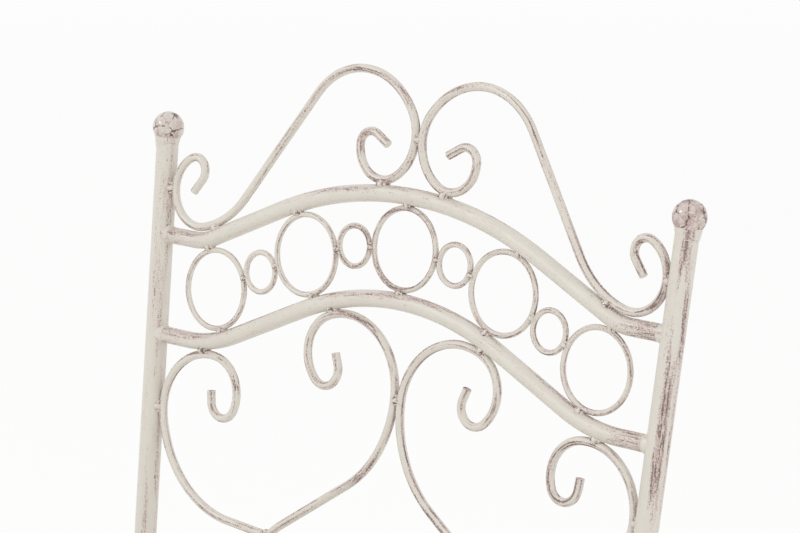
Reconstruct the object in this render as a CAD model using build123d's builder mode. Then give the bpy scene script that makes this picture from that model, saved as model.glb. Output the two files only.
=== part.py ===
"""Wrought iron garden chair: scrolled back with a row of rings, and a slatted seat."""
import os
from math import asin, atan2, cos, degrees, hypot, radians, sin, sqrt, tan

from build123d import *

os.makedirs("parts", exist_ok=True)

# Bars and wires
POST_DIAMETER = 16.0
RAIL_DIAMETER = 12.0
SCROLL_DIAMETER = 6.0
RING_WIRE_DIAMETER = 4.0

# Back, drawn in its own plane: u to the right, v up, zero at the centre of the middle ring
BACK_RECLINE = 8.0
POST_SPACING = 469.6
POST_FLARE = 2.4
POST_TOP = 46.6
FINIAL_DIAMETER = 23.0

# Rings, and the camel-back line through their centres
LARGE_RING_DIAMETER = 60.0
SMALL_RING_DIAMETER = 32.0
CROWN_RADIUS = 252.0
SLOPE_ANGLE = 24.4
SLOPE_LENGTH = 69.0
SHOULDER_RADIUS = 80.0

# Crest scrolls: from the hook at the post, over the arch, to the curl on the rail
CREST_MEETING = 3.7
CREST_HOOK_TIP = 12.0
CREST_HOOK_RADIUS = 9.6
CREST_FOOT_RADIUS = 25.5
CREST_SWEEP_RADIUS = 68.0
CREST_ARCH_RADIUS = 54.0
CREST_SHOULDER_RADIUS = 33.0
CREST_CURL_RADIUS = 22.0
CREST_EYE_RADIUS = 10.0
CREST_EYE_TIP = 12.0
# Angles where one bend of the crest scroll passes into the next
CREST_HOOK_END = 218.0
CREST_HOOK_START = 64.0
CREST_SWEEP_START = -104.0
CREST_SHOULDER_START = 146.0
CREST_CURL_START = 242.0
CREST_EYE_START = 360.0
CREST_EYE_END = 480.0

# Outer heart scrolls: from the eye, round the lobe at the post, to the tip of the heart
OUTER_EYE_TIP = 8.0
OUTER_EYE_RADIUS = 11.7
OUTER_CURL_RADIUS = 26.2
OUTER_LOBE_RADIUS = 43.2
OUTER_SIDE_RADIUS = 80.7
OUTER_EYE_END = 353.0
OUTER_EYE_START = 201.0
OUTER_CURL_START = 99.0
OUTER_SIDE_START = -13.4
OUTER_SIDE_END = -86.0

# Inner heart scrolls: from the eye, round the lobe beside the twin, to the tail on the bottom rail
HEART_MEETING = 6.5
INNER_EYE_TIP = 8.0
INNER_EYE_RADIUS = 12.4
INNER_CURL_RADIUS = 27.4
INNER_LOBE_RADIUS = 48.8
INNER_SIDE_RADIUS = 82.7
INNER_EYE_END = 158.5
INNER_EYE_START = 309.9
INNER_CURL_START = 68.2
INNER_SIDE_START = 178.6
INNER_SIDE_END = 236.0
TAIL_SPACING = 224.0
TAIL_BEND_RADIUS = 45.0
TAIL_LENGTH = 8.0

# Seat and legs
SEAT_HEIGHT = 450.0
SEAT_DROP = 355.0
SEAT_DEPTH = 430.0
SEAT_FRONT_SPACING = 456.0
SEAT_BAR_WIDTH = 10.0
SEAT_BAR_HEIGHT = 20.0
SLAT_COUNT = 10
SLAT_WIDTH = 30.0
SLAT_THICKNESS = 3.0
SLAT_INSET = 2.4
SLAT_POST_CLEARANCE = 3.0
LEG_BEND_RADIUS = 80.0
REAR_LEG_RAKE = 9.0
FRONT_LEG_RAKE = 3.0
FRONT_LEG_SPLAY = 1.5
STRETCHER_HEIGHT = 160.0
STRETCHER_DIAMETER = 10.0
CROSS_DIAMETER = 8.0
CAP_WALL = 2.5
CAP_HEIGHT = 24.0
CAP_FLOOR = 4.0
CAP_EDGE = 1.0

# Welds
WELD_GAP = 0.2
WELD_LEG = 1.0
WELD_SLOPE = 2.0
RING_BEAD_RADIUS = 3.2
SCROLL_BEAD_RADIUS = 4.4
SLAT_BEAD_RADIUS = 2.2

post_radius = POST_DIAMETER / 2
rail_radius = RAIL_DIAMETER / 2
rod_radius = SCROLL_DIAMETER / 2
wire_radius = RING_WIRE_DIAMETER / 2
stretcher_radius = STRETCHER_DIAMETER / 2
cross_radius = CROSS_DIAMETER / 2
frame_height = SEAT_HEIGHT - SLAT_THICKNESS - SEAT_BAR_HEIGHT / 2
rail_offset = LARGE_RING_DIAMETER / 2 + WELD_GAP + rail_radius

back_up = Vector(0, sin(radians(BACK_RECLINE)), cos(radians(BACK_RECLINE)))
back_front = Vector(0, -cos(radians(BACK_RECLINE)), sin(radians(BACK_RECLINE)))
back = Plane(
    origin=Vector(0, 0, frame_height) + back_up * SEAT_DROP, x_dir=(1, 0, 0), z_dir=back_front
)


def polar(centre, radius, angle):
    """Point on a circle at an angle in degrees."""
    return (centre[0] + radius * cos(radians(angle)), centre[1] + radius * sin(radians(angle)))


def settle(low, high, miss):
    """Value between low and high where the miss changes sign."""
    sign = miss(low)
    for _ in range(50):
        middle = (low + high) / 2
        if miss(middle) * sign > 0:
            low = middle
        else:
            high = middle
    return (low + high) / 2


def arc(centre, radius, start, end):
    """Arc of a circle from one angle to another."""
    return CenterArc(centre, radius, start, end - start)


def post_at(v):
    """Distance of a post's axis from the middle of the back at a height."""
    return POST_SPACING / 2 + v * tan(radians(POST_FLARE))


def bar(path, radius):
    """Round bar along a path."""
    with BuildPart() as round_bar:
        with BuildSketch(Plane(origin=path @ 0, z_dir=path % 0)):
            Circle(radius)
        sweep(path=path)
    return round_bar.part


def straight(start, end):
    """Straight path between two points."""
    with BuildLine() as path:
        Line(start, end)
    return path.wire()


# Rails and rings of the back
def camel_back(offset):
    """Line at a distance above the ring line, out to both posts."""
    crown = (0, -CROWN_RADIUS)
    slope_top = polar(crown, CROWN_RADIUS + offset, 90 - SLOPE_ANGLE)
    slope_end = polar(slope_top, SLOPE_LENGTH, -SLOPE_ANGLE)
    shoulder = polar(slope_end, SHOULDER_RADIUS - offset, 90 - SLOPE_ANGLE)
    flat = shoulder[1] - SHOULDER_RADIUS + offset
    with BuildLine() as line:
        Line(slope_top, slope_end)
        arc(shoulder, SHOULDER_RADIUS - offset, 270 - SLOPE_ANGLE, 270)
        Line((shoulder[0], flat), (post_at(flat), flat))
        mirror(about=Plane.YZ)
        arc(crown, CROWN_RADIUS + offset, 90 + SLOPE_ANGLE, 90 - SLOPE_ANGLE)
    return line.wire()


ring_line = camel_back(0)
upper_line = camel_back(rail_offset)
lower_line = camel_back(-rail_offset)
ring_step = (LARGE_RING_DIAMETER + SMALL_RING_DIAMETER) / 2 + WELD_GAP


def next_ring(previous):
    """Place on the ring line, as a share of its length, one step outward from a ring."""
    centre = ring_line @ previous
    return settle(previous, 1, lambda share: ((ring_line @ share) - centre).length - ring_step)


ring_places = [0.5]
for _ in range(4):
    ring_places.append(next_ring(ring_places[-1]))
ring_centres = [(abs((ring_line @ share).X), (ring_line @ share).Y) for share in ring_places]


# Scrolls, drawn for one side with w measured outward from the line where a pair meets
def on_side(path, side, meeting):
    """One-side drawing turned to its side of the back."""
    if side < 0:
        path = path.mirror(Plane.YZ)
    return path.moved(Location((meeting, 0, 0)))


def arcs_on_side(arcs, side, meeting):
    """Run of arcs, each given by centre, radius, start and end, on its side of the back."""
    with BuildLine() as run:
        for values in arcs:
            arc(*values)
    return on_side(run.wire(), side, meeting)


def rail_miss(run, rail_line):
    """How far a run of rod is from touching a rail."""
    return run.distance_to(rail_line) - rod_radius - WELD_GAP - rail_radius


def touch(point, across):
    """Place of a weld on the back, turned to lie along the gap that it fills."""
    return Location((point.X, point.Y, 0), (0, 0, degrees(atan2(across.Y, across.X)) + 90))


def rail_touch(run, rail_line):
    """Weld between a run of rod or wire and the rail that it touches."""
    on_run, on_rail = run.closest_points(rail_line)
    across = (on_run - on_rail).normalized()
    return touch(on_rail + across * (rail_radius + WELD_GAP / 2), across)


def beside_post(side, meeting, radius, v):
    """Centre, at a height, of a lobe that touches the post."""
    reach = (radius + rod_radius + WELD_GAP + post_radius) / cos(radians(POST_FLARE))
    return (post_at(v) - side * meeting - reach, v)


def post_touch(side, meeting, centre, radius):
    """Weld between a post and a lobe that touches it."""
    out = polar(centre, radius + rod_radius + WELD_GAP / 2, -POST_FLARE)
    across = Vector(side * (out[0] - centre[0]), out[1] - centre[1])
    return touch(Vector(meeting + side * out[0], out[1]), across)


def twin_touch(meeting, heights):
    """Weld between the two scrolls of a pair."""
    return touch(Vector(meeting, sum(heights) / len(heights)), Vector(1, 0))


def end_touch(point):
    """Weld round the butted end of a rod."""
    return touch(point, Vector(1, 1))


def crest_scroll(side):
    """Path of a crest scroll, its welds on the post and rail, and the height of its shoulder."""

    def curl_arcs(v):
        shoulder = (rod_radius + WELD_GAP / 2 + CREST_SHOULDER_RADIUS, v)
        curl = polar(shoulder, CREST_SHOULDER_RADIUS - CREST_CURL_RADIUS, CREST_CURL_START)
        eye = polar(curl, CREST_CURL_RADIUS - CREST_EYE_RADIUS, CREST_EYE_START)
        return [
            (shoulder, CREST_SHOULDER_RADIUS, CREST_SHOULDER_START, CREST_CURL_START),
            (curl, CREST_CURL_RADIUS, CREST_CURL_START, CREST_EYE_START),
            (eye, CREST_EYE_RADIUS, CREST_EYE_START, CREST_EYE_END),
        ]

    shoulder_v = settle(
        rail_offset,
        rail_offset + 2 * CREST_ARCH_RADIUS,
        lambda v: rail_miss(arcs_on_side(curl_arcs(v), side, CREST_MEETING), upper_line),
    )
    curls = curl_arcs(shoulder_v)
    shoulder = curls[0][0]
    arch = polar(shoulder, CREST_SHOULDER_RADIUS - CREST_ARCH_RADIUS, CREST_SHOULDER_START)

    def foot_arcs(v):
        foot = beside_post(side, CREST_MEETING, CREST_FOOT_RADIUS, v)
        hook = polar(foot, CREST_FOOT_RADIUS - CREST_HOOK_RADIUS, CREST_HOOK_START)
        sweep_centre = polar(foot, CREST_FOOT_RADIUS - CREST_SWEEP_RADIUS, CREST_SWEEP_START)
        # Heading of the crossed tangent from the sweep to the arch
        run = (arch[0] - sweep_centre[0], arch[1] - sweep_centre[1])
        lean = degrees(asin((CREST_SWEEP_RADIUS + CREST_ARCH_RADIUS) / hypot(*run)))
        heading = degrees(atan2(run[1], run[0])) % 360 - lean
        return [
            (hook, CREST_HOOK_RADIUS, CREST_HOOK_END, CREST_HOOK_START),
            (foot, CREST_FOOT_RADIUS, CREST_HOOK_START, CREST_SWEEP_START),
            (sweep_centre, CREST_SWEEP_RADIUS, CREST_SWEEP_START, heading - 270),
        ]

    rail_end = (upper_line @ 0).Y
    foot_v = settle(
        rail_end,
        rail_end + 4 * CREST_FOOT_RADIUS,
        lambda v: rail_miss(arcs_on_side(foot_arcs(v), side, CREST_MEETING), upper_line),
    )
    feet = foot_arcs(foot_v)
    hook, foot, lower_sweep = feet
    arch_start = lower_sweep[3] + 180
    eye = curls[2]
    hook_end = polar(*hook[:3])
    eye_end = polar(eye[0], eye[1], eye[3])
    with BuildLine() as path:
        Line(polar(hook_end, CREST_HOOK_TIP, CREST_HOOK_END + 90), hook_end)
        for values in feet:
            arc(*values)
        Line(
            polar(lower_sweep[0], lower_sweep[1], lower_sweep[3]),
            polar(arch, CREST_ARCH_RADIUS, arch_start),
        )
        arc(arch, CREST_ARCH_RADIUS, arch_start, CREST_SHOULDER_START)
        for values in curls:
            arc(*values)
        Line(eye_end, polar(eye_end, CREST_EYE_TIP, CREST_EYE_END + 90))
    touches = [
        post_touch(side, CREST_MEETING, foot[0], CREST_FOOT_RADIUS),
        rail_touch(arcs_on_side(feet, side, CREST_MEETING), upper_line),
        rail_touch(arcs_on_side(curls, side, CREST_MEETING), upper_line),
    ]
    return on_side(path.wire(), side, CREST_MEETING), touches, shoulder_v


def inner_arcs(side):
    """Eye, curl, lobe, long side and tail bend of an inner heart scroll."""
    lobe_w = INNER_LOBE_RADIUS + rod_radius + WELD_GAP / 2

    def upper_arcs(v):
        lobe = (lobe_w, v)
        curl = polar(lobe, INNER_LOBE_RADIUS - INNER_CURL_RADIUS, INNER_CURL_START)
        eye = polar(curl, INNER_CURL_RADIUS - INNER_EYE_RADIUS, INNER_EYE_START)
        flank = polar(lobe, INNER_LOBE_RADIUS - INNER_SIDE_RADIUS, INNER_SIDE_START)
        return [
            (eye, INNER_EYE_RADIUS, INNER_EYE_END, INNER_EYE_START),
            (curl, INNER_CURL_RADIUS, INNER_EYE_START, INNER_CURL_START + 360),
            (lobe, INNER_LOBE_RADIUS, INNER_CURL_START, INNER_SIDE_START),
            (flank, INNER_SIDE_RADIUS, INNER_SIDE_START, INNER_SIDE_END),
        ]

    lobe_v = settle(
        -rail_offset - 4 * INNER_LOBE_RADIUS,
        -rail_offset,
        lambda v: rail_miss(arcs_on_side(upper_arcs(v), side, HEART_MEETING), lower_line),
    )
    arcs = upper_arcs(lobe_v)
    flank_end = polar(arcs[3][0], INNER_SIDE_RADIUS, INNER_SIDE_END)
    bend_w = TAIL_SPACING / 2 - side * HEART_MEETING - TAIL_BEND_RADIUS
    bend_angle = INNER_SIDE_END - 180
    bend_start = polar((bend_w, 0), TAIL_BEND_RADIUS, bend_angle)
    fall = (bend_start[0] - flank_end[0]) * tan(radians(90 - bend_angle))
    bend = (bend_w, flank_end[1] - fall - bend_start[1])
    return arcs, (bend, TAIL_BEND_RADIUS, bend_angle, 0)


bottom_v = min(inner_arcs(side)[1][0][1] for side in (-1, 1)) - TAIL_LENGTH - rail_radius


def inner_scroll(side):
    """Path of an inner heart scroll, its welds on the rails, and the height of its lobe."""
    arcs, bend = inner_arcs(side)
    eye, _, lobe, flank = arcs
    eye_end = polar(*eye[:3])
    tail = bend[0][0] + TAIL_BEND_RADIUS
    with BuildLine() as path:
        Line(polar(eye_end, INNER_EYE_TIP, INNER_EYE_END - 90), eye_end)
        for values in arcs:
            arc(*values)
        Line(polar(flank[0], flank[1], flank[3]), polar(*bend[:3]))
        arc(*bend)
        Line((tail, bend[0][1]), (tail, bottom_v))
    touches = [
        rail_touch(arcs_on_side(arcs, side, HEART_MEETING), lower_line),
        end_touch(Vector(HEART_MEETING + side * tail, bottom_v + rail_radius)),
    ]
    return on_side(path.wire(), side, HEART_MEETING), touches, lobe[0][1]


def outer_scroll(side, inner_line):
    """Path of an outer heart scroll, and its welds on the post, rail and inner scroll."""

    def upper_arcs(v):
        lobe = beside_post(side, 0, OUTER_LOBE_RADIUS, v)
        curl = polar(lobe, OUTER_LOBE_RADIUS - OUTER_CURL_RADIUS, OUTER_CURL_START)
        eye = polar(curl, OUTER_CURL_RADIUS - OUTER_EYE_RADIUS, OUTER_EYE_START)
        flank = polar(lobe, OUTER_LOBE_RADIUS - OUTER_SIDE_RADIUS, OUTER_SIDE_START)
        return [
            (eye, OUTER_EYE_RADIUS, OUTER_EYE_END, OUTER_EYE_START),
            (curl, OUTER_CURL_RADIUS, OUTER_EYE_START, OUTER_CURL_START),
            (lobe, OUTER_LOBE_RADIUS, OUTER_CURL_START, OUTER_SIDE_START),
            (flank, OUTER_SIDE_RADIUS, OUTER_SIDE_START, OUTER_SIDE_END),
        ]

    rail_end = (lower_line @ 0).Y
    lobe_v = settle(
        rail_end - 4 * OUTER_LOBE_RADIUS,
        rail_end,
        lambda v: rail_miss(arcs_on_side(upper_arcs(v), side, 0), lower_line),
    )
    arcs = upper_arcs(lobe_v)
    eye, _, lobe, flank = arcs
    eye_end = polar(*eye[:3])
    flank_end = polar(flank[0], flank[1], flank[3])

    def tip(length):
        w, v = polar(flank_end, length, OUTER_SIDE_END - 90)
        return Vector(w, v)

    def inner_distance(length):
        point = tip(length)
        return inner_line.distance_to(Vector(side * point.X, point.Y))

    tip_length = min(range(1, int(flank_end[0])), key=inner_distance)
    with BuildLine() as path:
        Line(polar(eye_end, OUTER_EYE_TIP, OUTER_EYE_END + 90), eye_end)
        for values in arcs:
            arc(*values)
        Line(flank_end, tip(tip_length))
    joint = tip(tip_length - rod_radius)
    touches = [
        post_touch(side, 0, lobe[0], OUTER_LOBE_RADIUS),
        rail_touch(arcs_on_side(arcs, side, 0), lower_line),
        end_touch(Vector(side * joint.X, joint.Y)),
    ]
    return on_side(path.wire(), side, 0), touches


def on_back(path):
    """Path drawn on the back, put in its place in space."""
    return back.from_local_coords(path)


def bent(start, corner, end, radius):
    """Path of two straight runs with a round bend at the corner."""
    into = (corner - start).normalized()
    out = (end - corner).normalized()
    tangent = radius * tan(radians(into.get_angle(out) / 2))
    with BuildLine() as path:
        Line(start, corner - into * tangent)
        TangentArc(corner - into * tangent, corner + out * tangent, tangent=into)
        Line(corner + out * tangent, end)
    return path.wire()


# Rear posts: the upright of the back and the rear leg are one bent bar
rear_joint = back.from_local_coords((post_at(-SEAT_DROP), -SEAT_DROP, 0))
post_end = back.from_local_coords((post_at(POST_TOP), POST_TOP, 0))
post_axis = (post_end - rear_joint).normalized()
rear_rake = Vector(0, tan(radians(REAR_LEG_RAKE)), -1)
rear_foot = rear_joint + rear_rake * frame_height
post_path = bent(post_end, rear_joint, rear_foot, LEG_BEND_RADIUS)
cap_top = Plane.XY.offset(CAP_FLOOR)

with BuildPart() as right_rear_post:
    add(bar(post_path, post_radius))
    split(bisect_by=cap_top, keep=Keep.TOP)

with BuildPart() as left_rear_post:
    mirror(right_rear_post.part, about=Plane.YZ)

with BuildPart() as post_clearance:
    add(bar(post_path, post_radius + WELD_GAP))
    mirror(about=Plane.YZ)

finial_radius = FINIAL_DIAMETER / 2
finial_centre = post_end + post_axis * sqrt(finial_radius**2 - post_radius**2)

with BuildPart() as right_finial:
    with Locations(finial_centre):
        Sphere(finial_radius)
    split(bisect_by=Plane(origin=post_end, z_dir=post_axis), keep=Keep.TOP)

with BuildPart() as left_finial:
    mirror(right_finial.part, about=Plane.YZ)

# Rails of the back
upper_path = on_back(upper_line)
lower_path = on_back(lower_line)
bottom_path = on_back(straight((-post_at(bottom_v), bottom_v), (post_at(bottom_v), bottom_v)))

with BuildPart() as upper_back_rail:
    add(bar(upper_path, rail_radius))
    add(post_clearance.part, mode=Mode.SUBTRACT)

with BuildPart() as lower_back_rail:
    add(bar(lower_path, rail_radius))
    add(post_clearance.part, mode=Mode.SUBTRACT)

with BuildPart() as bottom_back_rail:
    add(bar(bottom_path, rail_radius))
    add(post_clearance.part, mode=Mode.SUBTRACT)

pieces = {
    "left_rear_post": left_rear_post.part,
    "right_rear_post": right_rear_post.part,
    "left_finial": left_finial.part,
    "right_finial": right_finial.part,
    "upper_back_rail": upper_back_rail.part,
    "lower_back_rail": lower_back_rail.part,
    "bottom_back_rail": bottom_back_rail.part,
}
back_rails = [upper_back_rail.part, lower_back_rail.part, bottom_back_rail.part]
posts = [left_rear_post.part, right_rear_post.part]

# Rings, numbered from the left
ring_row = [(-u, v) for u, v in reversed(ring_centres[1:])] + ring_centres
rings = []
for number, (u, v) in enumerate(ring_row):
    large = number % 2 == 0
    outer = LARGE_RING_DIAMETER if large else SMALL_RING_DIAMETER
    with BuildPart(back) as ring:
        with Locations((u, v)):
            Torus(outer / 2 - wire_radius, wire_radius)
    size = "large" if large else "small"
    pieces[f"{size}_ring_{number // 2 + 1}"] = ring.part
    rings.append(ring.part)

# Scrolls
with BuildPart() as bottom_rail_clearance:
    add(bar(bottom_path, rail_radius + WELD_GAP))

crest_touches = []
heart_touches = []
shoulder_heights = []
lobe_heights = []
scrolls = []
for hand, side in (("left", -1), ("right", 1)):
    crest_line, touches, shoulder_height = crest_scroll(side)
    crest_touches += touches
    shoulder_heights.append(shoulder_height)
    with BuildPart() as crest:
        add(bar(on_back(crest_line), rod_radius))
    inner_line, touches, lobe_height = inner_scroll(side)
    heart_touches += touches
    lobe_heights.append(lobe_height)
    with BuildPart() as inner:
        add(bar(on_back(inner_line), rod_radius))
        add(bottom_rail_clearance.part, mode=Mode.SUBTRACT)
    outer_line, touches = outer_scroll(side, inner_line)
    heart_touches += touches
    with BuildPart() as outer_heart:
        add(bar(on_back(outer_line), rod_radius))
        add(bar(on_back(inner_line), rod_radius + WELD_GAP), mode=Mode.SUBTRACT)
    pieces[f"{hand}_crest_scroll"] = crest.part
    pieces[f"{hand}_inner_heart_scroll"] = inner.part
    pieces[f"{hand}_outer_heart_scroll"] = outer_heart.part
    scrolls += [crest.part, inner.part, outer_heart.part]


crest_touches.append(twin_touch(CREST_MEETING, shoulder_heights))
heart_touches.append(twin_touch(HEART_MEETING, lobe_heights))


def beads(touches, radius, neighbours):
    """Weld beads on the back that fit round the pieces they join."""
    with BuildPart() as group:
        for place in touches:
            centre = back.from_local_coords(place.position)
            with BuildPart(back, mode=Mode.PRIVATE) as drop:
                with Locations(place):
                    # its poles face the two pieces, where they are cut away
                    Sphere(radius, rotation=(90, 0, 0))
            with BuildPart(mode=Mode.PRIVATE) as bead:
                add(drop.part)
                for piece in neighbours:
                    if piece.distance_to(centre) < 2 * radius:
                        add(piece, mode=Mode.SUBTRACT)
            add(bead.part)
    return group.part


ring_touches = []
for number, (u, v) in enumerate(ring_row):
    centre = Vector(u, v)
    large = number % 2 == 0
    outer = LARGE_RING_DIAMETER if large else SMALL_RING_DIAMETER
    if number + 1 < len(ring_row):
        across = (Vector(*ring_row[number + 1]) - centre).normalized()
        ring_touches.append(touch(centre + across * (outer + WELD_GAP) / 2, across))
    if large:
        with BuildLine() as hoop:
            CenterArc((u, v), outer / 2 - wire_radius, 0, 360)
        ring_touches += [rail_touch(hoop.wire(), line) for line in (upper_line, lower_line)]

pieces["ring_weld_beads"] = beads(ring_touches, RING_BEAD_RADIUS, rings + back_rails)
pieces["crest_weld_beads"] = beads(crest_touches, SCROLL_BEAD_RADIUS, scrolls + back_rails + posts)
pieces["heart_weld_beads"] = beads(heart_touches, SCROLL_BEAD_RADIUS, scrolls + back_rails + posts)


# Front legs
front_joint = Vector(SEAT_FRONT_SPACING / 2, -SEAT_DEPTH, frame_height)
front_rake = Vector(tan(radians(FRONT_LEG_SPLAY)), -tan(radians(FRONT_LEG_RAKE)), -1)
front_path = straight(front_joint - front_rake * SEAT_BAR_HEIGHT, front_joint + front_rake * frame_height)
seat_bed = Plane.XY.offset(SEAT_HEIGHT - SLAT_THICKNESS)

with BuildPart() as right_front_leg:
    add(bar(front_path, post_radius))
    split(bisect_by=seat_bed, keep=Keep.BOTTOM)
    split(bisect_by=cap_top, keep=Keep.TOP)

with BuildPart() as left_front_leg:
    mirror(right_front_leg.part, about=Plane.YZ)

with BuildPart() as leg_clearance:
    add(bar(front_path, post_radius + WELD_GAP))
    mirror(about=Plane.YZ)

uprights = [left_rear_post.part, right_rear_post.part, left_front_leg.part, right_front_leg.part]


# Seat frame: flat bars on edge between the uprights
def flat_bar(start, end, grow=0):
    """Flat bar on edge from one upright's axis to another."""
    run = end - start
    with BuildPart() as strip:
        with BuildSketch(Plane(origin=start, x_dir=(0, 0, 1), z_dir=run)):
            Rectangle(SEAT_BAR_HEIGHT + 2 * grow, SEAT_BAR_WIDTH + 2 * grow)
        extrude(amount=run.length)
    return strip.part


def facing(point):
    """Same point on the left of the chair."""
    return Vector(-point.X, point.Y, point.Z)


frame_runs = {
    "front_seat_bar": (facing(front_joint), front_joint),
    "rear_seat_bar": (facing(rear_joint), rear_joint),
    "left_seat_bar": (facing(rear_joint), facing(front_joint)),
    "right_seat_bar": (rear_joint, front_joint),
}
seat_bars = []
for name, (start, end) in frame_runs.items():
    with BuildPart() as seat_bar:
        add(flat_bar(start, end))
        add(post_clearance.part, mode=Mode.SUBTRACT)
        add(leg_clearance.part, mode=Mode.SUBTRACT)
    pieces[name] = seat_bar.part
    seat_bars.append(seat_bar.part)


# Slats, numbered from the front
def slat_end(y):
    """Half the length of a slat edge that lies across the side bars at y."""
    share = -y / SEAT_DEPTH
    axis = rear_joint.X + (front_joint.X - rear_joint.X) * share
    return axis + SEAT_BAR_WIDTH / 2 - SLAT_INSET


first_edge = -SEAT_DEPTH - SEAT_BAR_WIDTH / 2
last_edge = -post_radius - SLAT_POST_CLEARANCE
slat_pitch = (last_edge - first_edge - SLAT_WIDTH) / (SLAT_COUNT - 1)
slats = []
slat_touches = []
for number in range(SLAT_COUNT):
    front = first_edge + number * slat_pitch
    rear = front + SLAT_WIDTH
    with BuildPart() as slat:
        with BuildSketch(seat_bed):
            with BuildLine():
                Polyline(
                    (-slat_end(front), front),
                    (slat_end(front), front),
                    (slat_end(rear), rear),
                    (-slat_end(rear), rear),
                    close=True,
                )
            make_face()
        extrude(amount=SLAT_THICKNESS)
    pieces[f"seat_slat_{number + 1}"] = slat.part
    slats.append(slat.part)
    middle = (front + rear) / 2
    bed_height = SEAT_HEIGHT - SLAT_THICKNESS
    slat_touches += [(slat_end(middle), middle, bed_height), (-slat_end(middle), middle, bed_height)]


# Stretchers
def at_height(joint, rake, height):
    """Point of a leg's axis at a height above the floor."""
    return joint + rake * (frame_height - height)


side_start = at_height(front_joint, front_rake, STRETCHER_HEIGHT)
side_end = at_height(rear_joint, rear_rake, STRETCHER_HEIGHT)
side_path = straight(side_start, side_end)
cross_end = side_path @ 0.5
cross_path = straight(facing(cross_end), cross_end)

with BuildPart() as right_stretcher:
    add(bar(side_path, stretcher_radius))
    add(post_clearance.part, mode=Mode.SUBTRACT)
    add(leg_clearance.part, mode=Mode.SUBTRACT)

with BuildPart() as left_stretcher:
    mirror(right_stretcher.part, about=Plane.YZ)

with BuildPart() as stretcher_clearance:
    add(bar(side_path, stretcher_radius + WELD_GAP))
    mirror(about=Plane.YZ)

with BuildPart() as cross_stretcher:
    add(bar(cross_path, cross_radius))
    add(stretcher_clearance.part, mode=Mode.SUBTRACT)

stretchers = [left_stretcher.part, right_stretcher.part, cross_stretcher.part]


# Foot caps: cups pushed on the legs, trimmed flat on the floor
def foot_cap(leg, foot, rake):
    """Cup round the end of a leg."""
    with BuildPart() as cap:
        with BuildSketch(Plane(origin=foot + rake * CAP_HEIGHT, z_dir=-rake)):
            Circle(post_radius + CAP_WALL)
        extrude(amount=2 * CAP_HEIGHT)
        rim = cap.edges().group_by(Axis.Z)[-1]
        chamfer(rim, CAP_EDGE)
        split(bisect_by=Plane.XY, keep=Keep.TOP)
        add(leg, mode=Mode.SUBTRACT)
    return cap.part


rear_cap = foot_cap(right_rear_post.part, rear_foot, rear_rake)
front_cap = foot_cap(right_front_leg.part, front_joint + front_rake * frame_height, front_rake)
pieces["left_front_leg"] = left_front_leg.part
pieces["right_front_leg"] = right_front_leg.part
pieces["left_stretcher"] = left_stretcher.part
pieces["right_stretcher"] = right_stretcher.part
pieces["cross_stretcher"] = cross_stretcher.part
for name, cap in (("rear_foot_cap", rear_cap), ("front_foot_cap", front_cap)):
    with BuildPart() as left_cap:
        mirror(cap, about=Plane.YZ)
    pieces[f"left_{name}"] = left_cap.part
    pieces[f"right_{name}"] = cap


# Welds round the butted ends of bars
def end_weld(start, along, radius, other_radius):
    """Sloping weld round a bar's end, from the axis of the bar that it meets."""
    foot = min(radius + WELD_LEG, other_radius - WELD_GAP)
    reach = other_radius + WELD_GAP
    with BuildPart(Plane(origin=start, z_dir=along)) as weld:
        Cylinder(foot, reach, align=(Align.CENTER, Align.CENTER, Align.MIN))
        with Locations((0, 0, reach)):
            Cone(foot, radius + WELD_GAP, WELD_SLOPE, align=(Align.CENTER, Align.CENTER, Align.MIN))
    return weld.part


with BuildPart() as back_rail_welds:
    for path in (upper_path, lower_path, bottom_path):
        add(end_weld(path @ 0, path % 0, rail_radius, post_radius))
        add(end_weld(path @ 1, -(path % 1), rail_radius, post_radius))
    for piece in posts + back_rails:
        add(piece, mode=Mode.SUBTRACT)

with BuildPart() as stretcher_welds:
    add(end_weld(side_start, side_end - side_start, stretcher_radius, post_radius))
    add(end_weld(side_end, side_start - side_end, stretcher_radius, post_radius))
    add(end_weld(cross_end, facing(cross_end) - cross_end, cross_radius, stretcher_radius))
    mirror(about=Plane.YZ)
    for piece in uprights + stretchers:
        add(piece, mode=Mode.SUBTRACT)

with BuildPart() as seat_frame_welds:
    for start, end in frame_runs.values():
        along = (end - start).normalized() * (post_radius + WELD_GAP + WELD_LEG)
        add(flat_bar(start, start + along, WELD_LEG))
        add(flat_bar(end, end - along, WELD_LEG))
    split(bisect_by=seat_bed, keep=Keep.BOTTOM)
    for piece in uprights + seat_bars:
        add(piece, mode=Mode.SUBTRACT)

with BuildPart() as slat_weld_beads:
    with Locations(*slat_touches):
        Sphere(SLAT_BEAD_RADIUS)
    for piece in slats + seat_bars + uprights + [seat_frame_welds.part]:
        add(piece, mode=Mode.SUBTRACT)

pieces["back_rail_welds"] = back_rail_welds.part
pieces["stretcher_welds"] = stretcher_welds.part
pieces["seat_frame_welds"] = seat_frame_welds.part
pieces["slat_weld_beads"] = slat_weld_beads.part

# Stand the chair over the origin and write each piece
boxes = [piece.bounding_box() for piece in pieces.values()]
front_most = min(box.min.Y for box in boxes)
rear_most = max(box.max.Y for box in boxes)
stand = Location((0, -(front_most + rear_most) / 2, 0))
for name, piece in pieces.items():
    piece.label = name
    export_step(piece.moved(stand), f"parts/{name}.step")
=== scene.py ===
"""Garden chair of wrought iron in rubbed cream paint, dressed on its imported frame.

Lengths are in metres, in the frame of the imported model: X across the chair, Y from front
to back, Z up, feet on Z = 0.
"""

import math
from typing import NamedTuple

import bpy
from bpy.props import FloatProperty, FloatVectorProperty, IntProperty, PointerProperty
from mathutils import Matrix, Vector
from mathutils.bvhtree import BVHTree


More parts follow.
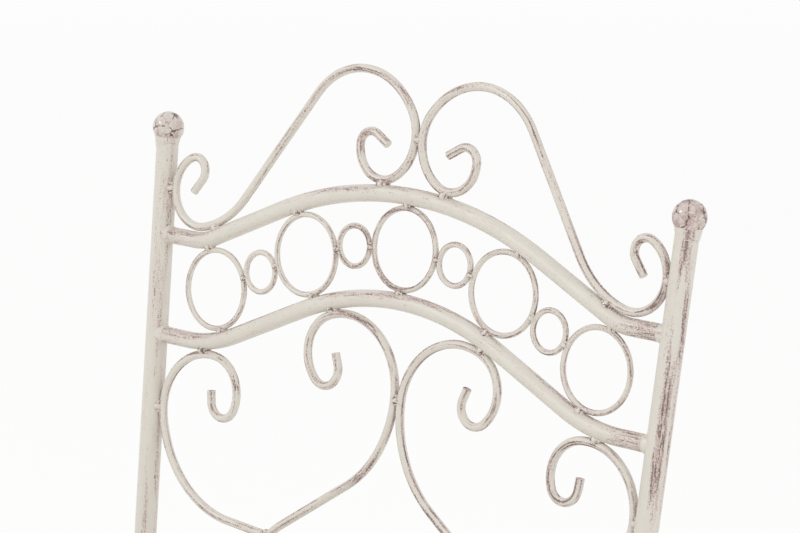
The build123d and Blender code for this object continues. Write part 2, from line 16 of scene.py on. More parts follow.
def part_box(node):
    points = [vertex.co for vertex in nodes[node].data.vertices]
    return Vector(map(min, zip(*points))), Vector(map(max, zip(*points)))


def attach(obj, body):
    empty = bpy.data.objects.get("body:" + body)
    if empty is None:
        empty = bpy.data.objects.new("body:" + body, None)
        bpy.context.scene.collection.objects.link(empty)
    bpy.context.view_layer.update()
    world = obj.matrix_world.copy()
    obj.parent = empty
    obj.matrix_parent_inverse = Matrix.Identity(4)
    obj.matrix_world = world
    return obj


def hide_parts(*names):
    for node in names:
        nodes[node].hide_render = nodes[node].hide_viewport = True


bl_info = {
    "name": "Wrought iron garden chair",
    "version": (1, 0, 0),
    "blender": (4, 5, 0),
    "location": "View3D > Sidebar > Chair",
    "description": "Rubbed paint, weld beads and a plain studio for the garden chair",
    "category": "Object",
}

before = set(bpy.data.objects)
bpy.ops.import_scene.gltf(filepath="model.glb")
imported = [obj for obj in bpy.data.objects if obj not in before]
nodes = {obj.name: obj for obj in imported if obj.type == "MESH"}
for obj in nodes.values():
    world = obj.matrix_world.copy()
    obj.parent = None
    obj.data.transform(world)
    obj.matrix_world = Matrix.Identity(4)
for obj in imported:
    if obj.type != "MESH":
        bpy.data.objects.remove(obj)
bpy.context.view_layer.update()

MM = 0.001
BODY = "root"
# Name of the mesh mark that carries the painted shade of the weld beads.
PAINTED_SHADE_MARK = "painted_shade"
POST_FINISH = "rubbed_enamel_on_post_"
WHITE = (1.0, 1.0, 1.0, 1.0)

# The back leans by eight degrees, and its rods all lie in one plane.
BACK_RECLINE = math.radians(8)
BACK_OUT = Vector((0, -math.cos(BACK_RECLINE), math.sin(BACK_RECLINE)))
BACK_UP = Vector((0, math.sin(BACK_RECLINE), math.cos(BACK_RECLINE)))

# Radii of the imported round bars.
POST_RADIUS = 8 * MM
RAIL_RADIUS = 6 * MM
ROD_RADIUS = 3 * MM
WIRE_RADIUS = 2 * MM
STRETCHER_RADIUS = 5 * MM
CROSS_RADIUS = 4 * MM

SIDES = ("left", "right")
POSTS = ("left_rear_post", "right_rear_post")
FINIALS = ("left_finial", "right_finial")
RAILS = ("upper_back_rail", "lower_back_rail", "bottom_back_rail")
RINGS = tuple(f"large_ring_{n}" for n in range(1, 6)) + tuple(f"small_ring_{n}" for n in range(1, 5))
CREST_SCROLLS = ("left_crest_scroll", "right_crest_scroll")
HEART_SCROLLS = tuple(f"{side}_{form}_heart_scroll" for form in ("inner", "outer") for side in SIDES)
LEGS = ("left_front_leg", "right_front_leg")
SIDE_STRETCHERS = ("left_stretcher", "right_stretcher")
CROSS_STRETCHER = ("cross_stretcher",)
CROSS_BARS = ("front_seat_bar", "rear_seat_bar")
SIDE_BARS = ("left_seat_bar", "right_seat_bar")
SLATS = tuple(f"seat_slat_{n}" for n in range(1, 11))
FOOT_CAPS = tuple(f"{side}_{end}_foot_cap" for end in ("rear", "front") for side in SIDES)
COLLARS = ("back_rail_welds", "stretcher_welds", "seat_frame_welds", "slat_weld_beads")
BEAD_GROUPS = ("ring_weld_beads", "crest_weld_beads", "heart_weld_beads")

# How strongly the brown shows on each kind of piece. The two posts differ.
POST_RUBS = (0.5, 0.78)
FINIAL_RUB = 0.65
RAIL_RUB = 0.75
RING_RUB = 0.9
SCROLL_RUB = 0.95
SLAT_RUB = 0.6
SEAT_BAR_RUB = 0.65
STRETCHER_RUB = 0.85
BEAD_RUB = 0.8
END_WELD_RUB = 0.5

# Sides of posts and rails that caught most brown.
POST_WIPED = (0.87, -0.5, 0)
RAIL_WIPED = (0, -0.2, 0.98)

# Brown added at the left and at the right of the back, in full from this far off its middle.
DRIFT_REACH = 150 * MM
RING_DRIFT = (-0.15, 0.3)
CREST_DRIFT = (-0.2, 0.25)

# Brown at the ends of rails: how far from the end it starts and is full, and the left end's share of it.
RAIL_END_START = 60 * MM
RAIL_END_FULL = 5 * MM
LEFT_END_SHARE = 0.5

# Brown that lies all over the left and the right ball.
BALL_SETTLED = (0.3, 0.95)

# Flat bars have no round to follow. Their streaks run across the chair or from front to back.
ACROSS_RUN = (0.6, 4, 4)
DEEP_RUN = (4, 0.6, 4)

# Roughness of whole enamel: satin on bars, glossier where it lies thick, duller under the brown.
SATIN = 0.4
THICK_GLOSS = 0.16
BALL_GLOSS = 0.13
BROWN_DULLS = 0.2

# Layers of the paint. Noise lies about 0.5, and a layer fades in between the two values of its range.
BAND_FADE = (0.41, 0.67)
WIPED_FADE = (0.3, 0.95)
WIPED_SHARE = (0.15, 1.3)
BROWN_FADE = (0.58, 0.74)
DARK_FADE = (1.33, 1.46)
BAND_TURN = 1.6
GRAIN_SHARE = 0.55
BROWN_LIFT = 0.2
SCRATCH_LIFT = 0.14
WASH_SHARE = 0.5
SETTLED_WASH = 0.6
BROWN_COVER = 0.9
DARK_COVER = 0.78
ARRIS_START = 0.78
ARRIS_BROWN = 0.7
RELIEF_SPECKS = 0.35
RELIEF_STRENGTH = 0.35
RELIEF_DEPTH = 0.4 * MM

# Cracks in the thick coat of the balls and the web of brown between them. Lines are shares of a cell.
CRACK_CELL = 9 * MM
CRACK_LINE = (0.015, 0.065)
CRACK_BEND = 4 * MM
CRACK_WANDER = 6 * MM
CRACK_GAP = 7 * MM
GAP_FADE = (0.47, 0.53)
GAP_SETTLED = 0.06
WEB_CELL = 3.4 * MM
WEB_LINE = (0.02, 0.2)
WEB_FADE = (0.4, 0.56)
WEB_LEAST = 0.25

# Meshes: sides and rows of the round primitives, seeds of their unevenness, and tolerances.
BALL_SIDES = 32
BALL_ROWS = 20
BALL_SEED = 3
WELD_SEED = 11
BEAD_SIDES = 16
RIPPLE_ROWS = 4
EDGE_SEGMENTS = 3
FLOOR_SIDES = 96
ROW_SLACK = 0.1 * MM
MERGE = 0.01 * MM
FLAT_ANGLE = math.radians(1)
SHARP_ANGLE = math.radians(40)
SMOOTH_ANGLE = math.radians(35)

# The weld under a ball, row by row from the top: shares of its height, of its leg and of its lumps.
WELD_PROFILE = (
    (0.18, 1.0, 0.0), (0.22, 0.75, 1.0), (0.22, 0.4, 1.0),
    (0.22, 0.14, 0.5), (0.14, 0.02, 0.0), (0.02, -0.3, 0.0),
)

# Painted shade on a weld bead, drawn in the paint's brown: in the hollows between ridges, and low on its
# sides, fading out towards its top.
HOLLOW_PAINTED_SHADE = 1.35
FOOT_PAINTED_SHADE = 0.65
FOOT_TOP = 0.75
FOOT_FADE = 0.3

# The camera's sensor in millimetres, and how far it sees in metres.
SENSOR_WIDTH = 36.0
VIEW_END = 100.0


def linear(code):
    """Linear red, green and blue of an sRGB hex colour."""
    parts = [int(code[i : i + 2], 16) / 255 for i in (1, 3, 5)]
    return tuple(p / 12.92 if p <= 0.04045 else ((p + 0.055) / 1.055) ** 2.4 for p in parts)


def opaque(colour):
    """A colour with full alpha, as node sockets take it."""
    return (*colour, 1.0)


def add_node(tree, kind, inputs=None, **settings):
    """Adds a node with its settings. A (node, output) pair among the inputs is linked, the rest are set."""
    made = tree.nodes.new(kind)
    for name, value in settings.items():
        setattr(made, name, value)
    for socket, value in (inputs or {}).items():
        if isinstance(value, tuple) and isinstance(value[0], bpy.types.Node):
            tree.links.new(value[0].outputs[value[1]], made.inputs[socket])
        else:
            made.inputs[socket].default_value = value
    return made


class PaintSettings(bpy.types.PropertyGroup):
    """Colours and pattern sizes of the rubbed paint."""

    cream: FloatVectorProperty(
        name="Cream paint", description="Top coat where it is whole", subtype="COLOR",
        default=linear("#DAD5CA"), min=0, max=1,
    )
    cream_grey: FloatVectorProperty(
        name="Grey cream", description="Top coat where it is thin", subtype="COLOR",
        default=linear("#D0CBC1"), min=0, max=1,
    )
    blush: FloatVectorProperty(
        name="Blush wash", description="Thin brown wiped over the cream", subtype="COLOR",
        default=linear("#CCBCB6"), min=0, max=1,
    )
    mauve: FloatVectorProperty(
        name="Mauve brown", description="Brown rubbed along the rods", subtype="COLOR",
        default=linear("#AA918C"), min=0, max=1,
    )
    umber: FloatVectorProperty(
        name="Umber", description="Darkest specks and scratches", subtype="COLOR",
        default=linear("#5C4845"), min=0, max=1,
    )
    streak_length: FloatProperty(
        name="Streak length", description="Length of a rubbed streak along a rod", unit="LENGTH",
        default=9 * MM, min=1 * MM,
    )
    streak_width: FloatProperty(
        name="Streak width", description="Width of a rubbed streak round a rod", unit="LENGTH",
        default=0.9 * MM, min=0.1 * MM,
    )
    scratch_length: FloatProperty(
        name="Scratch length", description="Length of a dark scratch along a rod", unit="LENGTH",
        default=14 * MM, min=1 * MM,
    )
    scratch_width: FloatProperty(
        name="Scratch width", description="Width of a dark scratch", unit="LENGTH",
        default=0.8 * MM, min=0.1 * MM,
    )
    grain: FloatProperty(
        name="Speckle", description="Size of the brown specks", unit="LENGTH",
        default=1.1 * MM, min=0.1 * MM,
    )
    cloud: FloatProperty(
        name="Cloud", description="Size of thinner places in the top coat", unit="LENGTH",
        default=24 * MM, min=1 * MM,
    )
    patch: FloatProperty(
        name="Patch", description="Length of a rubbed stretch of rod", unit="LENGTH",
        default=65 * MM, min=5 * MM,
    )


class CapSettings(bpy.types.PropertyGroup):
    """Colours and pattern sizes of the foot caps."""

    plastic: FloatVectorProperty(
        name="Plastic", description="Colour of a clean cap", subtype="COLOR",
        default=linear("#CFCBC0"), min=0, max=1,
    )
    scuffed: FloatVectorProperty(
        name="Scuffed", description="Colour of a cap where it is scuffed", subtype="COLOR",
        default=linear("#8D877C"), min=0, max=1,
    )
    peel: FloatProperty(
        name="Orange peel", description="Size of the dimples in the skin", unit="LENGTH",
        default=0.8 * MM, min=0.1 * MM,
    )
    peel_depth: FloatProperty(
        name="Peel depth", description="Depth of the dimples in the skin", unit="LENGTH",
        default=0.1 * MM, min=0,
    )
    scuff: FloatProperty(
        name="Scuff", description="Size of a scuff", unit="LENGTH", default=5 * MM, min=0.5 * MM,
    )
    worn_height: FloatProperty(
        name="Worn height", description="Height above the floor that is scuffed", unit="LENGTH",
        default=14 * MM, min=1 * MM,
    )


class WeldSettings(bpy.types.PropertyGroup):
    """Sizes of the hand-laid weld beads."""

    ripples: IntProperty(name="Ripples", description="Ridges along one bead", default=3, min=2, max=9)
    ripple_depth: FloatProperty(
        name="Ripple depth", description="Share of its girth that a bead loses between ridges",
        default=0.34, min=0, max=0.5, subtype="FACTOR",
    )
    uneven: FloatProperty(
        name="Unevenness", description="Random shift of a bead's surface, as a share of its half sizes",
        default=0.035, min=0, max=0.2, subtype="FACTOR",
    )
    wire_bead: FloatVectorProperty(
        name="Bead on wire", description="Half width, half height and half length of a bead on a ring",
        unit="LENGTH", default=(3.0 * MM, 4.4 * MM, 3.4 * MM), min=0.2 * MM,
    )
    rod_bead: FloatVectorProperty(
        name="Bead on rod", description="Half width, half height and half length of a bead on a scroll",
        unit="LENGTH", default=(3.5 * MM, 5.3 * MM, 4.5 * MM), min=0.2 * MM,
    )
    lean: FloatProperty(
        name="Lean",
        description="Shift of a bead to the thicker bar, as a share of the difference of the radii",
        default=0.25, min=0, max=1, subtype="FACTOR",
    )
    spread: FloatProperty(
        name="Spread", description="Growth of a bead, as a share of the difference of the radii",
        default=0.15, min=0, max=1, subtype="FACTOR",
    )


class FinialSettings(bpy.types.PropertyGroup):
    """Sizes of the ball finials and of the weld under each ball."""

    weld_height: FloatProperty(
        name="Weld height", description="Height of the weld below the ball", unit="LENGTH",
        default=8 * MM, min=1 * MM,
    )
    weld_leg: FloatProperty(
        name="Weld leg", description="Thickness of the weld round the post", unit="LENGTH",
        default=1.1 * MM, min=0.2 * MM,
    )
    lumps: FloatProperty(
        name="Lumps", description="Unevenness of the thick paint", unit="LENGTH",
        default=0.22 * MM, min=0,
    )


class SeatSettings(bpy.types.PropertyGroup):
    """Sizes of the slats."""

    eased_edge: FloatProperty(
        name="Eased edge", description="Rounding of a slat's edges", unit="LENGTH",
        default=0.8 * MM, min=0.1 * MM, max=1.4 * MM,
    )


class StageSettings(bpy.types.PropertyGroup):
    """Floor, light and viewpoint."""

    floor_radius: FloatProperty(
        name="Floor", description="Radius of the floor", unit="LENGTH", default=30.0, min=2.0,
    )
    floor_colour: FloatVectorProperty(
        name="Floor colour", description="Paint of the floor", subtype="COLOR",
        default=linear("#FDFDFC"), min=0, max=1,
    )
    white_start: FloatProperty(
        name="White start", description="Distance at which the floor starts to turn white",
        unit="LENGTH", default=0.8, min=0,
    )
    white_end: FloatProperty(
        name="White end", description="Distance at which the floor is plain white",
        unit="LENGTH", default=9.0, min=1.0,
    )
    white_least: FloatProperty(
        name="Least white", description="Share of plain white in the floor under the chair",
        subtype="FACTOR", default=0.42, min=0, max=1,
    )
    sky_light: FloatProperty(
        name="Sky", description="Strength of the even light", subtype="FACTOR", default=0.86, min=0,
    )
    key_light: FloatProperty(
        name="Key lamp", description="Power of the key lamp", subtype="POWER", default=40.0,
    )
    key_size: FloatProperty(
        name="Key size", description="Width of the key lamp", unit="LENGTH", default=1.0, min=0.01,
    )
    key_place: FloatVectorProperty(
        name="Key place", description="Where the key lamp hangs", unit="LENGTH", default=(-2.6, -3.0, 3.4),
    )
    fill_light: FloatProperty(
        name="Fill lamp", description="Power of the fill lamp", subtype="POWER", default=26.0,
    )
    fill_size: FloatProperty(
        name="Fill size", description="Width of the fill lamp", unit="LENGTH", default=2.6, min=0.01,
    )
    fill_place: FloatVectorProperty(
        name="Fill place", description="Where the fill lamp hangs", unit="LENGTH", default=(3.4, -1.6, 2.2),
    )
    lamp_aim: FloatVectorProperty(
        name="Lamp aim", description="Point that the lamps look at", unit="LENGTH", default=(0, 0.2, 0.7),
    )
    camera_place: FloatVectorProperty(
        name="Camera", description="Where the camera stands", unit="LENGTH",
        default=(1.57996, -1.50494, 1.30081),
    )
    camera_aim: FloatVectorProperty(
        name="Aim", description="Direction of the camera's axis", subtype="DIRECTION",
        default=(-0.65589, 0.72289, -0.21732),
    )
    lens: FloatProperty(
        name="Lens", description="Focal length on a 36 mm wide frame", unit="CAMERA",
        default=159.353, min=10,
    )


class ChairSettings(bpy.types.PropertyGroup):
    """All settings of the chair."""

    paint: PointerProperty(name="Paint", description="Rubbed paint", type=PaintSettings)
    cap: PointerProperty(name="Caps", description="Foot caps", type=CapSettings)
    weld: PointerProperty(name="Welds", description="Weld beads of the back", type=WeldSettings)
    finial: PointerProperty(name="Finials", description="Ball finials", type=FinialSettings)
    seat: PointerProperty(name="Seat", description="Slats of the seat", type=SeatSettings)
    stage: PointerProperty(name="Stage", description="Floor, light and camera", type=StageSettings)


class Rub(NamedTuple):
    """How the paint of one kind of piece is rubbed.

    amount is the brown that is left, radius that of a round bar, and run how quickly the streaks change
    along X, Y and Z. facing is the side that caught most brown, and both_sides says that the side across
    from it did too. drift is the brown added at the left and at the right of the back, blush_end the two
    distances from the middle of the chair between which the brown thickens, and arris the first middle
    line, spacing and half width of slats with rubbed edges. hollows says that painted shade, in the paint's
    brown, is added where the mesh is marked for it, cracked that the coat is thick and cracked, settled is
    the brown that lies all over, and gloss the roughness of whole enamel.
    """

    amount: float
    radius: float = 0.0
    run: tuple = (1, 1, 1)
    facing: tuple = ()
    both_sides: bool = False
    drift: tuple = ()
    blush_end: tuple = ()
    arris: tuple = ()
    hollows: bool = False
    cracked: bool = False
    settled: float = 0.0
    gloss: float = SATIN


def bare_material(name):
    """A new material and its empty node tree."""
    material = bpy.data.materials.new(name)
    material.use_nodes = True
    material.node_tree.nodes.clear()
    return material, material.node_tree


def bar_lines(tree, place, core, rub):
    """Noise of the streaks and of the scratches: slow along the bar, quick round it."""
    paint = bpy.context.scene.chair.paint
    lines = []
    for length, width, detail in (
        (paint.streak_length, paint.streak_width, 3.0),
        (paint.scratch_length, paint.scratch_width, 1.0),
    ):
        along = add_node(
            tree, "ShaderNodeVectorMath",
            {0: (core, "Vector"), 1: tuple(part / length for part in rub.run)}, operation="MULTIPLY",
        )
        around = add_node(
            tree, "ShaderNodeVectorMath", {0: (place, "Normal"), "Scale": rub.radius / width},
            operation="SCALE",
        )
        joined = add_node(
            tree, "ShaderNodeVectorMath", {0: (along, "Vector"), 1: (around, "Vector")}, operation="ADD"
        )
        lines.append(
            add_node(
                tree, "ShaderNodeTexNoise",
                {"Vector": (joined, "Vector"), "Scale": 1.0, "Detail": detail, "Roughness": 0.6},
            )
        )
    return lines


def left_brown(tree, place, core, rub):
    """Where the brown was left: on stretches of bar, on one side of it more than on the other. On weld
    beads it also adds painted shade where the mesh is marked.
    """
    paint = bpy.context.scene.chair.paint
    far = add_node(
        tree, "ShaderNodeVectorMath",
        {0: (core, "Vector"), 1: tuple(part / paint.patch for part in rub.run)}, operation="MULTIPLY",
    )
    side = add_node(
        tree, "ShaderNodeVectorMath", {0: (place, "Normal"), "Scale": BAND_TURN}, operation="SCALE"
    )
    patch_place = add_node(
        tree, "ShaderNodeVectorMath", {0: (far, "Vector"), 1: (side, "Vector")}, operation="ADD"
    )
    patch = add_node(
        tree, "ShaderNodeTexNoise",
        {"Vector": (patch_place, "Vector"), "Scale": 1.0, "Detail": 1.0, "Roughness": 0.45},
    )
    band = add_node(
        tree, "ShaderNodeMapRange",
        {"Value": (patch, "Fac"), "From Min": BAND_FADE[0], "From Max": BAND_FADE[1]},
        interpolation_type="SMOOTHSTEP",
    )
    density = (band, "Result")
    if rub.facing:
        turned = add_node(
            tree, "ShaderNodeVectorMath", {0: (place, "Normal"), 1: rub.facing}, operation="DOT_PRODUCT"
        )
        if rub.both_sides:
            turned = add_node(tree, "ShaderNodeMath", {0: (turned, "Value")}, operation="ABSOLUTE")
        caught = add_node(
            tree, "ShaderNodeMapRange",
            {
                "Value": (turned, "Value"), "From Min": WIPED_FADE[0], "From Max": WIPED_FADE[1],
                "To Min": WIPED_SHARE[0], "To Max": WIPED_SHARE[1],
            },
            interpolation_type="SMOOTHSTEP",
        )
        wiped = add_node(tree, "ShaderNodeMath", {0: density, 1: (caught, "Result")}, operation="MULTIPLY")
        density = (wiped, "Value")
    if rub.drift:
        middle = add_node(tree, "ShaderNodeSeparateXYZ", {"Vector": (core, "Vector")})
        aside = add_node(
            tree, "ShaderNodeMapRange",
            {
                "Value": (middle, "X"), "From Min": -DRIFT_REACH, "From Max": DRIFT_REACH,
                "To Min": rub.drift[0], "To Max": rub.drift[1],
            },
        )
        drifted = add_node(tree, "ShaderNodeMath", {0: density, 1: (aside, "Result")}, operation="ADD")
        density = (drifted, "Value")
    if rub.blush_end:
        start, full = rub.blush_end
        middle = add_node(tree, "ShaderNodeSeparateXYZ", {"Vector": (core, "Vector")})
        out = add_node(tree, "ShaderNodeMath", {0: (middle, "X")}, operation="ABSOLUTE")
        most = add_node(
            tree, "ShaderNodeMapRange",
            {"Value": (middle, "X"), "From Min": -start, "From Max": start, "To Min": LEFT_END_SHARE},
        )
        end = add_node(
            tree, "ShaderNodeMapRange",
            {"Value": (out, "Value"), "From Min": start, "From Max": full, "To Max": (most, "Result")},
            interpolation_type="SMOOTHSTEP",
        )
        thickened = add_node(
            tree, "ShaderNodeMath", {0: density, 1: (end, "Result")}, operation="ADD", use_clamp=True
        )
        density = (thickened, "Value")
    if rub.arris:
        first, pitch, half = rub.arris
        middle = add_node(tree, "ShaderNodeSeparateXYZ", {"Vector": (place, "Object")})
        behind = add_node(tree, "ShaderNodeMath", {0: (middle, "Y"), 1: first}, operation="SUBTRACT")
        off = add_node(tree, "ShaderNodeMath", {0: (behind, "Value"), 1: pitch / 2}, operation="PINGPONG")
        edge = add_node(
            tree, "ShaderNodeMapRange",
            {
                "Value": (off, "Value"), "From Min": half * ARRIS_START, "From Max": half,
                "To Max": ARRIS_BROWN,
            },
            interpolation_type="SMOOTHSTEP",
        )
        edged = add_node(tree, "ShaderNodeMath", {0: density, 1: (edge, "Result")}, operation="ADD")
        density = (edged, "Value")
    # painted shade: more brown where a weld bead's mesh marks its hollows and low sides
    if rub.hollows:
        hollow = add_node(tree, "ShaderNodeAttribute", attribute_name=PAINTED_SHADE_MARK)
        hollow_shaded = add_node(tree, "ShaderNodeMath", {0: density, 1: (hollow, "Fac")}, operation="ADD")
        density = (hollow_shaded, "Value")
    return density


def cracks(tree, place, streak, settled):
    """Broken cracks in a thick coat, and between them a finer web of lines that holds the settled brown."""
    bent = add_node(
        tree, "ShaderNodeTexNoise", {"Vector": (place, "Object"), "Scale": 1 / CRACK_BEND, "Detail": 4.0}
    )
    warped = add_node(
        tree, "ShaderNodeVectorMath",
        {0: (bent, "Color"), 1: (CRACK_WANDER,) * 3, 2: (place, "Object")}, operation="MULTIPLY_ADD",
    )
    cell = add_node(
        tree, "ShaderNodeTexVoronoi",
        {"Vector": (warped, "Vector"), "Scale": 1 / CRACK_CELL, "Randomness": 1.0},
        feature="DISTANCE_TO_EDGE",
    )
    line = add_node(
        tree, "ShaderNodeMapRange",
        {
            "Value": (cell, "Distance"), "From Min": CRACK_LINE[0], "From Max": CRACK_LINE[1],
            "To Min": 1.0, "To Max": 0.0,
        },
    )
    gap = add_node(
        tree, "ShaderNodeTexNoise", {"Vector": (place, "Object"), "Scale": 1 / CRACK_GAP, "Detail": 2.0}
    )
    kept = add_node(
        tree, "ShaderNodeMapRange",
        {
            "Value": (gap, "Fac"), "From Min": GAP_FADE[0] - GAP_SETTLED * settled,
            "From Max": GAP_FADE[1] - GAP_SETTLED * settled,
        },
    )
    broken = add_node(
        tree, "ShaderNodeMath", {0: (line, "Result"), 1: (kept, "Result")}, operation="MULTIPLY",
        use_clamp=True,
    )
    net = add_node(
        tree, "ShaderNodeTexVoronoi",
        {"Vector": (warped, "Vector"), "Scale": 1 / WEB_CELL, "Randomness": 1.0},
        feature="DISTANCE_TO_EDGE",
    )
    web = add_node(
        tree, "ShaderNodeMapRange",
        {
            "Value": (net, "Distance"), "From Min": WEB_LINE[0], "From Max": WEB_LINE[1],
            "To Min": settled, "To Max": 0.0,
        },
    )
    uneven = add_node(
        tree, "ShaderNodeMapRange",
        {"Value": (streak, "Fac"), "From Min": WEB_FADE[0], "From Max": WEB_FADE[1], "To Min": WEB_LEAST},
    )
    held = add_node(
        tree, "ShaderNodeMath", {0: (web, "Result"), 1: (uneven, "Result")}, operation="MULTIPLY",
        use_clamp=True,
    )
    return broken, held


def rubbed_paint(name, rub):
    """Cream enamel on iron, wiped with brown and rubbed back: satin, with brown left in bands of fine
    specks along the bar, and thin dark scratches. The pattern is drawn on the bar's middle line and on
    the way its skin faces, so it follows every bend."""
    paint = bpy.context.scene.chair.paint
    material, tree = bare_material(name)
    place = add_node(tree, "ShaderNodeTexCoord")
    inset = add_node(
        tree, "ShaderNodeVectorMath", {0: (place, "Normal"), "Scale": rub.radius}, operation="SCALE"
    )
    core = add_node(
        tree, "ShaderNodeVectorMath", {0: (place, "Object"), 1: (inset, "Vector")}, operation="SUBTRACT"
    )
    streak, scratch = bar_lines(tree, place, core, rub)
    grain = add_node(
        tree, "ShaderNodeTexNoise",
        {"Vector": (place, "Object"), "Scale": 1 / paint.grain, "Detail": 1.5, "Roughness": 0.65},
    )
    density = left_brown(tree, place, core, rub)

    # specks: the finer noise weighs most, so the bands break up into dots
    speck = add_node(
        tree, "ShaderNodeMix", {"Factor": GRAIN_SHARE, 2: (streak, "Fac"), 3: (grain, "Fac")},
        data_type="FLOAT",
    )
    lifted = add_node(
        tree, "ShaderNodeMath", {0: density, 1: BROWN_LIFT * rub.amount, 2: (speck, 0)},
        operation="MULTIPLY_ADD",
    )
    brown = add_node(
        tree, "ShaderNodeMapRange",
        {
            "Value": (lifted, "Value"), "From Min": BROWN_FADE[0], "From Max": BROWN_FADE[1],
            "To Max": BROWN_COVER,
        },
        interpolation_type="SMOOTHSTEP",
    )
    brown = (brown, "Result")
    marked = add_node(
        tree, "ShaderNodeMath", {0: density, 1: SCRATCH_LIFT * rub.amount, 2: (scratch, "Fac")},
        operation="MULTIPLY_ADD",
    )
    scored = add_node(
        tree, "ShaderNodeMath", {0: (marked, "Value"), 1: (lifted, "Value")}, operation="ADD"
    )
    dark = add_node(
        tree, "ShaderNodeMapRange",
        {
            "Value": (scored, "Value"), "From Min": DARK_FADE[0], "From Max": DARK_FADE[1],
            "To Max": DARK_COVER,
        },
        interpolation_type="SMOOTHSTEP",
    )
    dark = (dark, "Result")
    if rub.cracked:
        broken, held = cracks(tree, place, streak, rub.settled)
        split = add_node(
            tree, "ShaderNodeMath", {0: dark, 1: (broken, "Value")}, operation="MAXIMUM", use_clamp=True
        )
        dark = (split, "Value")
        netted = add_node(
            tree, "ShaderNodeMath", {0: brown, 1: (held, "Value")}, operation="MAXIMUM", use_clamp=True
        )
        brown = (netted, "Value")

    # colour, from the whole coat to the darkest marks
    cloud = add_node(
        tree, "ShaderNodeTexNoise",
        {"Vector": (place, "Object"), "Scale": 1 / paint.cloud, "Detail": 3.0, "Roughness": 0.55},
    )
    whole = add_node(
        tree, "ShaderNodeMix",
        {"Factor": (cloud, "Fac"), "A": opaque(paint.cream), "B": opaque(paint.cream_grey)},
        data_type="RGBA",
    )
    washed = add_node(
        tree, "ShaderNodeMath",
        {0: density, 1: WASH_SHARE * rub.amount, 2: SETTLED_WASH * rub.settled},
        operation="MULTIPLY_ADD", use_clamp=True,
    )
    wash = add_node(
        tree, "ShaderNodeMix",
        {"Factor": (washed, "Value"), "A": (whole, "Result"), "B": opaque(paint.blush)}, data_type="RGBA",
    )
    rubbed = add_node(
        tree, "ShaderNodeMix", {"Factor": brown, "A": (wash, "Result"), "B": opaque(paint.mauve)},
        data_type="RGBA",
    )
    colour = add_node(
        tree, "ShaderNodeMix", {"Factor": dark, "A": (rubbed, "Result"), "B": opaque(paint.umber)},
        data_type="RGBA",
    )

    # satin where the enamel is whole, duller where the brown shows
    sheen = add_node(
        tree, "ShaderNodeMapRange", {"Value": brown, "To Min": rub.gloss, "To Max": rub.gloss + BROWN_DULLS}
    )
    height = add_node(
        tree, "ShaderNodeMix", {"Factor": RELIEF_SPECKS, 2: (cloud, "Fac"), 3: (speck, 0)},
        data_type="FLOAT",
    )
    relief = add_node(
        tree, "ShaderNodeBump",
        {"Height": (height, 0), "Strength": RELIEF_STRENGTH, "Distance": RELIEF_DEPTH},
    )
    skin = add_node(
        tree, "ShaderNodeBsdfPrincipled",
        {
            "Base Color": (colour, "Result"), "Roughness": (sheen, "Result"), "IOR": 1.5,
            "Normal": (relief, "Normal"),
        },
    )
    add_node(tree, "ShaderNodeOutputMaterial", {"Surface": (skin, "BSDF")})
    return material


def moulded_cap(name):
    """Moulded polyethylene: off-white and dull, with a faint orange-peel skin and scuffs near the floor."""
    cap = bpy.context.scene.chair.cap
    material, tree = bare_material(name)
    place = add_node(tree, "ShaderNodeTexCoord")
    peel = add_node(
        tree, "ShaderNodeTexNoise", {"Vector": (place, "Object"), "Scale": 1 / cap.peel, "Detail": 2.0}
    )
    scuff = add_node(
        tree, "ShaderNodeTexNoise", {"Vector": (place, "Object"), "Scale": 1 / cap.scuff, "Detail": 4.0}
    )
    level = add_node(tree, "ShaderNodeSeparateXYZ", {"Vector": (place, "Object")})
    low = add_node(
        tree, "ShaderNodeMapRange",
        {"Value": (level, "Z"), "From Max": cap.worn_height, "To Min": 0.9, "To Max": 0.0},
    )
    worn = add_node(
        tree, "ShaderNodeMath", {0: (low, "Result"), 1: (scuff, "Fac")}, operation="MULTIPLY",
        use_clamp=True,
    )
    colour = add_node(
        tree, "ShaderNodeMix",
        {"Factor": (worn, "Value"), "A": opaque(cap.plastic), "B": opaque(cap.scuffed)}, data_type="RGBA",
    )
    relief = add_node(
        tree, "ShaderNodeBump", {"Height": (peel, "Fac"), "Strength": 0.2, "Distance": cap.peel_depth}
    )
    skin = add_node(
        tree, "ShaderNodeBsdfPrincipled",
        {"Base Color": (colour, "Result"), "Roughness": 0.55, "IOR": 1.51, "Normal": (relief, "Normal")},
    )
    add_node(tree, "ShaderNodeOutputMaterial", {"Surface": (skin, "BSDF")})
    return material


def coat(names, material):
    """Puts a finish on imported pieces."""
    for name in names:
        piece = nodes[name]
        if not piece.material_slots:
            piece.data.materials.append(material)
        for holder in piece.material_slots:
            holder.material = material


def loose_copy(name):
    """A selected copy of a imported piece, free of the frame."""
    bpy.ops.object.select_all(action="DESELECT")
    piece = nodes[name].copy()
    piece.data = nodes[name].data.copy()
    piece.parent = None
    for mark in list(piece.keys()):
        del piece[mark]
    bpy.context.collection.objects.link(piece)
    bpy.context.view_layer.objects.active = piece
    piece.select_set(True)
    return piece


def subdivide(piece, levels):
    """Rounds a piece off by subdivision and shades it smooth."""
    rounding = piece.modifiers.new("rounding", "SUBSURF")
    rounding.levels = levels
    rounding.render_levels = levels
    bpy.ops.object.modifier_apply(modifier=rounding.name)
    bpy.ops.object.shade_smooth()


class CHAIR_OT_posts(bpy.types.Operator):
    """Paints the rear posts and the front legs"""

    bl_idname = "chair.posts"
    bl_label = "Posts and legs"

    def execute(self, context):
        for side, post, leg, amount in zip(SIDES, POSTS, LEGS, POST_RUBS):
            rub = Rub(amount, POST_RADIUS, facing=POST_WIPED, both_sides=True)
            coat((post, leg), rubbed_paint(POST_FINISH + side, rub))
        return {"FINISHED"}


